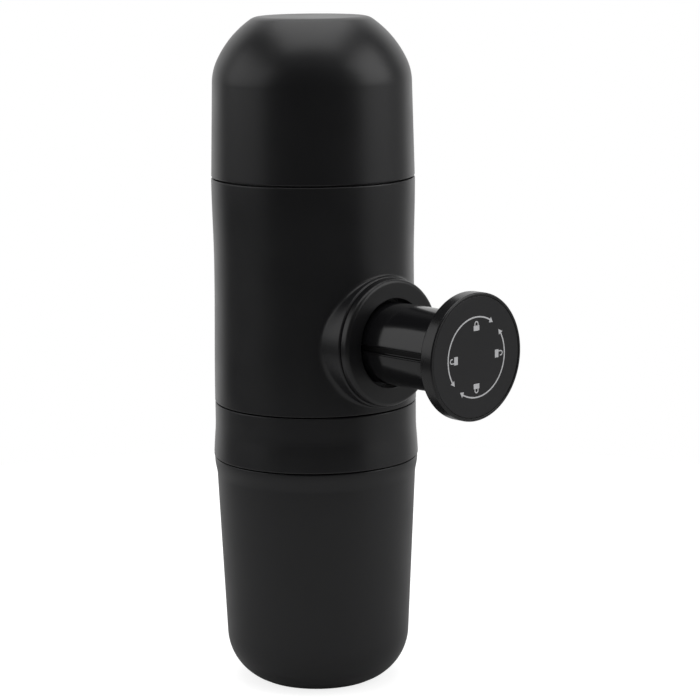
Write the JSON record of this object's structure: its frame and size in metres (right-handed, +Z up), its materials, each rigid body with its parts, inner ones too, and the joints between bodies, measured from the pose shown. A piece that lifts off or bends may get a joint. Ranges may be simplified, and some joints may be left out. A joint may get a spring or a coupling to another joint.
{
  "type": "handheld manual espresso maker",
  "caption": "Capsule-shaped hand-pumped espresso maker with a water tank above, a spring-returned twist-lock piston in its side, a coffee basket below, and the cup it stands on.",
  "frame": {"origin": "centre of the flat underside of the cup, which the whole device stands on", "axes": "+Z up along the casing's axis, +X along the piston's axis towards the knob, +Y to the right as seen from the knob's front"},
  "size_m": [0.0975, 0.0616, 0.2],
  "materials": {
    "casing": "fine matte texture",
    "gloss_black": "polished",
    "face": "satin with printed grey turning marks",
    "inner_black": "moulded satin",
    "pump_grey": "moulded satin",
    "white_plastic": "moulded satin",
    "steel": "satin",
    "spring_steel": "drawn wire",
    "ball_steel": "polished",
    "silicone": "matte",
    "seal_black": "matte"
  },
  "bodies": {
    "cup": {"cup": "casing"},
    "outlet_head": {"outlet_head": "casing", "head_seal": "silicone", "cup_ring": "silicone"},
    "filter_basket": {"filter_basket": "steel", "basket_screen": "steel"},
    "pump_body": {"body_shell": "casing", "tank_neck": "inner_black", "tank_seal": "seal_black", "neck_screws": "steel", "inlet_strainer": "steel", "inlet_tube": "white_plastic", "inlet_valve": "white_plastic", "inlet_spring": "spring_steel", "pump_cylinder": "pump_grey", "cylinder_cap": "white_plastic", "pump_housing": "pump_grey", "outlet_valve": "white_plastic", "outlet_spring": "spring_steel", "return_spring": "spring_steel", "boss_bezel": "gloss_black", "guide_bush": "inner_black", "lock_pins": "steel", "brew_head": "inner_black", "shower_screen": "steel", "screen_screw": "steel", "shower_gasket": "silicone"},
    "water_tank": {"water_tank": "casing"},
    "piston": {"plunger": "pump_grey", "plunger_seal": "seal_black", "spring_seat": "white_plastic", "thrust_washer": "steel", "knob_screw": "steel"},
    "knob": {"knob_sleeve": "gloss_black", "knob_cap": "gloss_black", "knob_face": "face"},
    "inlet_ball": {"inlet_ball": "ball_steel"},
    "outlet_ball": {"outlet_ball": "ball_steel"}
  },
  "joints": [
    {"name": "head_lift", "type": "slide", "parent": "cup", "child": "outlet_head", "axis": [0, 0, 1], "range_m": [0, 0.055]},
    {"name": "brewer_lift", "type": "slide", "parent": "outlet_head", "child": "pump_body", "axis": [0, 0, 1], "range_m": [0, 0.064]},
    {"name": "basket_lift", "type": "slide", "parent": "outlet_head", "child": "filter_basket", "axis": [0, 0, 1], "range_m": [0, 0.032]},
    {"name": "tank_lift", "type": "slide", "parent": "pump_body", "child": "water_tank", "axis": [0, 0, 1], "range_m": [0, 0.03]},
    {"name": "piston_slide", "type": "slide", "parent": "pump_body", "child": "piston", "axis": [1, 0, 0], "range_m": [-0.028, 0], "stiffness_N_per_m": 600, "springref_m": 0.006, "deforming": ["return_spring"]},
    {"name": "knob_twist", "type": "hinge", "parent": "piston", "child": "knob", "pos_m": [0, 0, 0.1065], "axis": [-1, 0, 0], "range_deg": [0, 90]},
    {"name": "inlet_ball_slide", "type": "slide", "parent": "pump_body", "child": "inlet_ball", "axis": [0, 0, 1], "range_m": [-0.0015, 0], "stiffness_N_per_m": 20, "springref_m": 0.002, "deforming": ["inlet_spring"]},
    {"name": "outlet_ball_slide", "type": "slide", "parent": "pump_body", "child": "outlet_ball", "axis": [0, 0, 1], "range_m": [-0.0015, 0], "stiffness_N_per_m": 20, "springref_m": 0.002, "deforming": ["outlet_spring"]}
  ],
  "couplings": [
    {"joint": "basket_lift", "follows": "brewer_lift", "ratio": 0.5}
  ]
}
